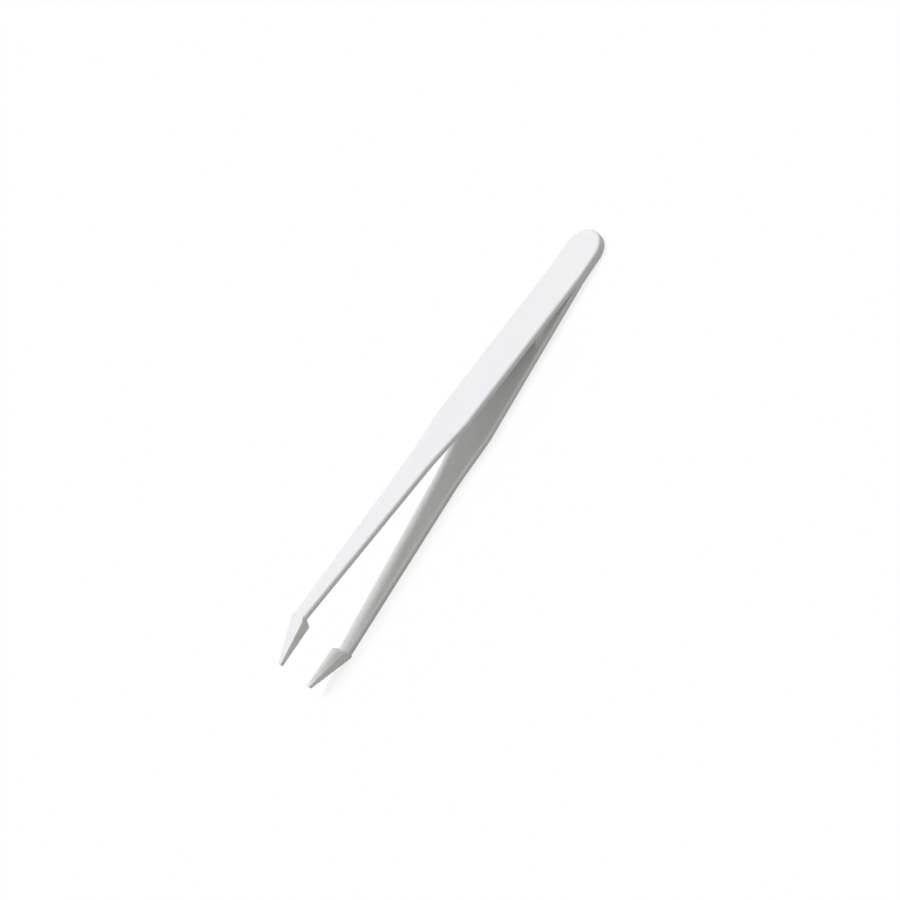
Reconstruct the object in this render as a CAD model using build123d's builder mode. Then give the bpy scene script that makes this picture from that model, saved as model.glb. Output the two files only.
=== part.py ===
from build123d import *
from math import asin, atan2, degrees, hypot, radians, sin, tan
import os

os.makedirs("parts", exist_ok=True)

# Plastic tweezers moulded in one piece, in millimetres.
# They are modelled about the middle plane between their arms: X runs from the tail's end to
# the tips, and one arm is above Z = 0 and the other below it. Then they are laid down.

# Whole tweezers
overall_length = 115.0
grip_width = 10.4
arm_thickness = 1.4
spread_angle = 4.4  # how far each arm leans away from the middle plane, in degrees

# Tail, where both arms are one solid with parallel faces
tail_length = 11.0
tail_thickness = 2.4

# Web between the roots of the arms, narrower than the arms
web_end = 27.5  # from the tail's end to where the gap between the arms goes right through
web_width = 7.4

# Outline of an arm seen from its outer face
hip_position = 51.0  # end of the parallel grip
waist_position = 62.0  # end of the quick taper after the hip
waist_width = 7.4
neck_width = 3.5
hip_radius = 9.0
waist_radius = 45.0

# Head at the end of each arm
head_length = 10.6
head_width = 4.1
flare_length = 0.9  # over which the neck widens to the head
pad_step = 1.4  # how far the gripping pad stands in from the arm's inner face
pad_ramp = 0.9
tip_gap = 8.7  # between the two pads at the very tips
tip_thickness = 0.9
tip_width = 0.9

# Rounded edges
outer_edge_radius = 0.6
inner_edge_radius = 0.25
head_edge_radius = 0.2

# Places that follow from the sizes above
lean = tan(radians(spread_angle))
tail_height = tail_thickness / 2
tail_radius = grip_width / 2
tail_overlap = (tail_height - outer_edge_radius) / 2  # how far each half reaches into the other
shoulder_position = overall_length - head_length
shoulder_height = tail_height + (shoulder_position - tail_length) * lean
wall_height = hypot(1, lean) * arm_thickness  # the arm's thickness, measured upright
fork_position = tail_length + (wall_height - tail_height) / lean  # where the inner faces would meet
tip_inner_height = tip_gap / 2
tip_outer_height = tip_inner_height + tip_thickness
neck_inner_height = shoulder_height - wall_height
pad_height = neck_inner_height - pad_step
fork_sine = sin(radians(spread_angle))
gap_end_radius = (web_end - fork_position) * fork_sine / (1 - fork_sine)

# Head of the upper arm: a wedge that tapers in both views, with the pad on its inner side
with BuildPart() as head:
    with BuildSketch(Plane.XZ):
        with BuildLine():
            Polyline(
                (shoulder_position, shoulder_height),
                (overall_length, tip_outer_height),
                (overall_length, tip_inner_height),
                (shoulder_position + pad_ramp, pad_height),
                (shoulder_position, neck_inner_height),
                close=True,
            )
        make_face()
    extrude(amount=head_width, both=True)

    with BuildSketch(Plane.XY):
        with BuildLine():
            Polyline(
                (shoulder_position, 0),
                (shoulder_position, neck_width / 2),
                (shoulder_position + flare_length, head_width / 2),
                (overall_length, tip_width / 2),
                (overall_length, 0),
            )
            mirror(about=Plane.XZ)
        make_face()
    extrude(amount=shoulder_height, mode=Mode.INTERSECT)

    point_edges = head.edges().filter_by_position(
        Axis.X, shoulder_position + max(flare_length, pad_ramp), overall_length, inclusive=(False, True)
    )
    fillet(point_edges, radius=head_edge_radius)

with BuildPart() as moulding:
    # Upper half of the tail and the upper arm, seen from the side
    with BuildSketch(Plane.XZ):
        with BuildLine():
            Polyline(
                (0, -tail_overlap),
                (0, tail_height),
                (tail_length, tail_height),
                (shoulder_position, shoulder_height),
                (shoulder_position, neck_inner_height),
                (fork_position, 0),
                (fork_position, -tail_overlap),
                close=True,
            )
        make_face()
    extrude(amount=grip_width, both=True)

    # Outline of the tail and the arm, seen from above
    with BuildSketch(Plane.XY):
        with BuildLine():
            CenterArc((tail_radius, 0), tail_radius, 90, 90)
            FilletPolyline(
                (tail_radius, grip_width / 2),
                (hip_position, grip_width / 2),
                (waist_position, waist_width / 2),
                (shoulder_position, neck_width / 2),
                radius=[hip_radius, waist_radius],
            )
            Line((shoulder_position, neck_width / 2), (shoulder_position, 0))
            mirror(about=Plane.XZ)
        make_face()
    extrude(amount=shoulder_height, both=True, mode=Mode.INTERSECT)

    upward_faces = moulding.faces().filter_by(lambda face: face.normal_at().Z > 0.9)
    fillet(upward_faces.edges().filter_by(Axis.Y, reverse=True), radius=outer_edge_radius)
    downward_faces = moulding.faces().filter_by(lambda face: face.normal_at().Z < -0.9)
    inner_face = downward_faces.sort_by(Axis.Z)[-1]
    fillet(inner_face.edges().filter_by(Axis.Y, reverse=True), radius=inner_edge_radius)

    # Upper half of the web, whose end is rounded between the two inner faces
    with BuildSketch(Plane.XZ):
        with BuildLine():
            gap_end = CenterArc(
                (web_end + gap_end_radius, 0), gap_end_radius, 90 + spread_angle, 90 - spread_angle
            )
            Polyline(gap_end @ 1, (fork_position, 0), gap_end @ 0)
        make_face()
    extrude(amount=web_width / 2, both=True)

    add(head.part)
    mirror(about=Plane.XY)

# Laid down on the lower arm: the rounded end of the tail and the lower shoulder touch the surface
drop = shoulder_height - (tail_height - outer_edge_radius)
run = shoulder_position - outer_edge_radius
pitch = degrees(atan2(drop, run) - asin(outer_edge_radius / hypot(run, drop)))
laid_moulding = moulding.part.rotate(Axis.Y, -pitch)
extent = laid_moulding.bounding_box()

with BuildPart() as tweezers:
    with Locations((-extent.center().X, 0, -extent.min.Z)):
        add(laid_moulding)

tweezers.part.label = "tweezers"
export_step(tweezers.part, "parts/tweezers.step")
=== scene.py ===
import bpy
import math
from mathutils import Matrix, Vector

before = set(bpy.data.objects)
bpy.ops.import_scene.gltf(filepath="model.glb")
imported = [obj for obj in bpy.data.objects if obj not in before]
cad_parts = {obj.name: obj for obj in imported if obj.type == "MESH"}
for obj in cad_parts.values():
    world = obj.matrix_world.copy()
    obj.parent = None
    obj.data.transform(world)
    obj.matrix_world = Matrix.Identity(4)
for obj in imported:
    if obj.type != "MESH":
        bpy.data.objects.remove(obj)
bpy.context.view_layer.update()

print("frame loaded")

scene = bpy.context.scene
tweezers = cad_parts["tweezers"]


# Camera, placed as the photo shows the tweezers

cameraSetup = {
    "azimuth": 171.84,  # degrees, 0 looks along +Y
    "elevation": 38.49,
    "roll": -53.9,
    "pixelsPerMetre": 4701.0,  # at the middle of the object, in a picture 900 wide
    "middleX": 461.8,  # where the row frame's origin falls, in pixels from the upper left
    "middleY": 463.4,
    "pictureSize": 900.0,
    "distance": 0.792,  # from the row frame's origin
    "sensorWidth": 36.0,  # millimetres
    "nearLimit": 0.01,
    "farLimit": 20.0,
}


def placeCamera(setup):
    azimuth = math.radians(setup["azimuth"])
    elevation = math.radians(setup["elevation"])
    roll = math.radians(setup["roll"])
    forward = Vector((
        -math.sin(azimuth) * math.cos(elevation),
        math.cos(azimuth) * math.cos(elevation),
        -math.sin(elevation),
    ))
    levelRight = Vector((math.cos(azimuth), math.sin(azimuth), 0.0))
    levelUp = levelRight.cross(forward)
    right = levelRight * math.cos(roll) + levelUp * math.sin(roll)
    up = levelUp * math.cos(roll) - levelRight * math.sin(roll)
    half = setup["pictureSize"] / 2
    location = -forward * setup["distance"]
    location -= right * (setup["middleX"] - half) / setup["pixelsPerMetre"]
    location += up * (setup["middleY"] - half) / setup["pixelsPerMetre"]

    cameraData = bpy.data.cameras.new("photoCamera")
    cameraData.sensor_fit = "HORIZONTAL"
    cameraData.sensor_width = setup["sensorWidth"]
    cameraData.lens = (
        setup["sensorWidth"] * setup["pixelsPerMetre"] * setup["distance"] / setup["pictureSize"]
    )
    cameraData.clip_start = setup["nearLimit"]
    cameraData.clip_end = setup["farLimit"]
    camera = bpy.data.objects.new("photoCamera", cameraData)
    matrix = Matrix((right, up, -forward)).transposed().to_4x4()
    matrix.translation = location
    camera.matrix_world = matrix
    scene.collection.objects.link(camera)
    scene.camera = camera


placeCamera(cameraSetup)
print("camera placed")


# Small helpers for nodes

def addMath(nodes, operation):
    node = nodes.new("ShaderNodeMath")
    node.operation = operation
    return node


def addColourMix(nodes, firstColour, secondColour):
    node = nodes.new("ShaderNodeMix")
    node.data_type = "RGBA"
    node.inputs["A"].default_value = firstColour
    node.inputs["B"].default_value = secondColour
    return node


# Moulded surface: stretched noise that steps softly between low and high.
# The plastic uses it for wide patches, for the lines of the flow and for the fine grain.

noiseSetup = {
    "detail": 3.0,
    "roughness": 0.55,
    "middle": 0.5,  # value of the noise about which the step is made
}


def addInput(group, name, kind="NodeSocketFloat", value=None):
    item = group.interface.new_socket(name=name, in_out="INPUT", socket_type=kind)
    if value is not None:
        item.default_value = value


def makeMouldedGrain(setup):
    group = bpy.data.node_groups.new("mouldedGrain", "ShaderNodeTree")
    addInput(group, "Vector", kind="NodeSocketVector")
    addInput(group, "Size", value=0.001)  # width of one grain or patch
    addInput(group, "Stretch", value=1.0)  # how much longer than wide, along X
    addInput(group, "Softness", value=0.5)  # half the width of the step from low to high
    group.interface.new_socket(name="Value", in_out="OUTPUT", socket_type="NodeSocketFloat")
    nodes = group.nodes
    links = group.links
    given = nodes.new("NodeGroupInput")
    result = nodes.new("NodeGroupOutput")

    # Coordinates, drawn out along X
    lengthwise = addMath(nodes, "DIVIDE")
    lengthwise.inputs[0].default_value = 1.0
    scale = nodes.new("ShaderNodeCombineXYZ")
    scale.inputs["Y"].default_value = 1.0
    scale.inputs["Z"].default_value = 1.0
    stretched = nodes.new("ShaderNodeVectorMath")
    stretched.operation = "MULTIPLY"
    links.new(given.outputs["Stretch"], lengthwise.inputs[1])
    links.new(lengthwise.outputs[0], scale.inputs["X"])
    links.new(given.outputs["Vector"], stretched.inputs[0])
    links.new(scale.outputs["Vector"], stretched.inputs[1])

    # Noise of the asked size
    perMetre = addMath(nodes, "DIVIDE")
    perMetre.inputs[0].default_value = 1.0
    noise = nodes.new("ShaderNodeTexNoise")
    noise.inputs["Detail"].default_value = setup["detail"]
    noise.inputs["Roughness"].default_value = setup["roughness"]
    links.new(given.outputs["Size"], perMetre.inputs[1])
    links.new(perMetre.outputs[0], noise.inputs["Scale"])
    links.new(stretched.outputs["Vector"], noise.inputs["Vector"])

    # Soft step about the noise's middle
    low = addMath(nodes, "SUBTRACT")
    low.inputs[0].default_value = setup["middle"]
    high = addMath(nodes, "ADD")
    high.inputs[0].default_value = setup["middle"]
    step = nodes.new("ShaderNodeMapRange")
    step.interpolation_type = "SMOOTHSTEP"
    links.new(given.outputs["Softness"], low.inputs[1])
    links.new(given.outputs["Softness"], high.inputs[1])
    links.new(noise.outputs["Fac"], step.inputs["Value"])
    links.new(low.outputs[0], step.inputs["From Min"])
    links.new(high.outputs[0], step.inputs["From Max"])
    links.new(step.outputs["Result"], result.inputs["Value"])
    return group


mouldedGrain = makeMouldedGrain(noiseSetup)
print("grain made")


# White plastic of the tweezers

plastic = {
    "colour": (0.852, 0.86, 0.892, 1.0),
    "patchColour": (0.875, 0.868, 0.868, 1.0),  # a little warmer, in wide soft patches
    "patch": {"Size": 0.007, "Stretch": 2.5, "Softness": 0.22},
    "roughness": 0.36,
    "roughnessMore": 0.16,  # added where the moulded flow is dull
    "flow": {"Size": 0.0016, "Stretch": 7.0, "Softness": 0.2},
    "grain": {"Size": 0.00022, "Stretch": 1.0, "Softness": 0.3},
    "grainHeight": 0.00003,
    "grainStrength": 0.7,
    "glow": 0.3,  # share of the light that soaks into the plastic
    "glowDepth": 0.001,
    "glowTint": (1.0, 0.93, 0.72),  # red goes deepest and blue least
}


def placeGrain(material, coordinates, setup):
    node = material.node_tree.nodes.new("ShaderNodeGroup")
    node.node_tree = mouldedGrain
    for name, value in setup.items():
        node.inputs[name].default_value = value
    material.node_tree.links.new(coordinates.outputs["Object"], node.inputs["Vector"])
    return node


def makePlastic(values):
    material = bpy.data.materials.new("whitePlastic")
    material.use_nodes = True
    nodes = material.node_tree.nodes
    links = material.node_tree.links
    shader = nodes["Principled BSDF"]
    coordinates = nodes.new("ShaderNodeTexCoord")

    patches = placeGrain(material, coordinates, values["patch"])
    colour = addColourMix(nodes, values["colour"], values["patchColour"])
    links.new(patches.outputs["Value"], colour.inputs["Factor"])
    links.new(colour.outputs["Result"], shader.inputs["Base Color"])

    flow = placeGrain(material, coordinates, values["flow"])
    roughness = addMath(nodes, "MULTIPLY_ADD")
    roughness.inputs[1].default_value = values["roughnessMore"]
    roughness.inputs[2].default_value = values["roughness"]
    links.new(flow.outputs["Value"], roughness.inputs[0])
    links.new(roughness.outputs[0], shader.inputs["Roughness"])

    grain = placeGrain(material, coordinates, values["grain"])
    bump = nodes.new("ShaderNodeBump")
    bump.inputs["Strength"].default_value = values["grainStrength"]
    bump.inputs["Distance"].default_value = values["grainHeight"]
    links.new(grain.outputs["Value"], bump.inputs["Height"])
    links.new(bump.outputs["Normal"], shader.inputs["Normal"])

    shader.inputs["Subsurface Weight"].default_value = values["glow"]
    shader.inputs["Subsurface Radius"].default_value = values["glowTint"]
    shader.inputs["Subsurface Scale"].default_value = values["glowDepth"]
    return material


tweezers.material_slots[0].material = makePlastic(plastic)
print("plastic made")


# White floor, which the camera and reflections see as bright paper with a faint shadow.
# All other rays meet a darker floor, so that it throws only a little light back up.

paper = {
    "size": 6.0,
    "seenColour": (1.0, 1.0, 1.0, 1.0),
    "bounceColour": (0.36, 0.36, 0.34, 1.0),
    "shadowShare": 0.18,  # how much of the paper's look comes from the light on it
}


def backgroundRays(nodes, links):
    # 1 where a camera, glossy or transmission ray meets the surface
    rays = nodes.new("ShaderNodeLightPath")
    cameraOrGlossy = addMath(nodes, "MAXIMUM")
    anyOfThem = addMath(nodes, "MAXIMUM")
    links.new(rays.outputs["Is Camera Ray"], cameraOrGlossy.inputs[0])
    links.new(rays.outputs["Is Glossy Ray"], cameraOrGlossy.inputs[1])
    links.new(cameraOrGlossy.outputs[0], anyOfThem.inputs[0])
    links.new(rays.outputs["Is Transmission Ray"], anyOfThem.inputs[1])
    return anyOfThem.outputs[0]


def makePaper(values):
    material = bpy.data.materials.new("floorPaper")
    material.use_nodes = True
    nodes = material.node_tree.nodes
    links = material.node_tree.links
    nodes.clear()
    output = nodes.new("ShaderNodeOutputMaterial")
    shownRays = backgroundRays(nodes, links)

    colour = addColourMix(nodes, values["bounceColour"], values["seenColour"])
    lit = nodes.new("ShaderNodeBsdfDiffuse")
    links.new(shownRays, colour.inputs["Factor"])
    links.new(colour.outputs["Result"], lit.inputs["Color"])

    bright = nodes.new("ShaderNodeEmission")
    shown = nodes.new("ShaderNodeMixShader")
    shown.inputs[0].default_value = values["shadowShare"]
    links.new(bright.outputs["Emission"], shown.inputs[1])
    links.new(lit.outputs["BSDF"], shown.inputs[2])

    whole = nodes.new("ShaderNodeMixShader")
    links.new(shownRays, whole.inputs[0])
    links.new(lit.outputs["BSDF"], whole.inputs[1])
    links.new(shown.outputs["Shader"], whole.inputs[2])
    links.new(whole.outputs["Shader"], output.inputs["Surface"])
    return material


def makeFloor(values):
    half = values["size"] / 2
    corners = [(-half, -half, 0), (half, -half, 0), (half, half, 0), (-half, half, 0)]
    mesh = bpy.data.meshes.new("floor")
    mesh.from_pydata(corners, [], [(0, 1, 2, 3)])
    mesh.materials.append(makePaper(values))
    floor = bpy.data.objects.new("floor", mesh)
    scene.collection.objects.link(floor)


makeFloor(paper)
print("floor made")


# Sky, white to the same rays and dimmer as a light

sky = {
    "seenColour": (1.0, 1.0, 1.0, 1.0),
    "seenLevel": 1.0,
    "lightColour": (1.0, 0.985, 0.9, 1.0),
    "lightLevel": 0.385,
}


def makeSky(values):
    world = bpy.data.worlds.new("studio")
    scene.world = world
    world.use_nodes = True
    nodes = world.node_tree.nodes
    links = world.node_tree.links
    nodes.clear()
    output = nodes.new("ShaderNodeOutputWorld")
    shownRays = backgroundRays(nodes, links)
    level = nodes.new("ShaderNodeMix")
    level.data_type = "FLOAT"
    level.inputs["A"].default_value = values["lightLevel"]
    level.inputs["B"].default_value = values["seenLevel"]
    colour = addColourMix(nodes, values["lightColour"], values["seenColour"])
    background = nodes.new("ShaderNodeBackground")
    links.new(shownRays, level.inputs["Factor"])
    links.new(shownRays, colour.inputs["Factor"])
    links.new(level.outputs["Result"], background.inputs["Strength"])
    links.new(colour.outputs["Result"], background.inputs["Color"])
    links.new(background.outputs["Background"], output.inputs["Surface"])


makeSky(sky)
print("sky made")


# Soft lamp, almost straight above

keyLight = {
    "level": 2.08,
    "colour": (0.94, 0.94, 1.0),
    "spread": 22.0,  # degrees across the lamp
    "tilt": 6.0,  # degrees from straight above, so that the light comes from -Y
    "place": (0.0, -0.2, 1.0),
}


def makeKeyLight(values):
    lampData = bpy.data.lights.new("keyLight", "SUN")
    lampData.energy = values["level"]
    lampData.color = values["colour"]
    lampData.angle = math.radians(values["spread"])
    lamp = bpy.data.objects.new("keyLight", lampData)
    lamp.location = values["place"]
    lamp.rotation_euler = (math.radians(values["tilt"]), 0.0, 0.0)
    scene.collection.objects.link(lamp)


makeKeyLight(keyLight)
scene.view_settings.view_transform = "Standard"
print("light made")
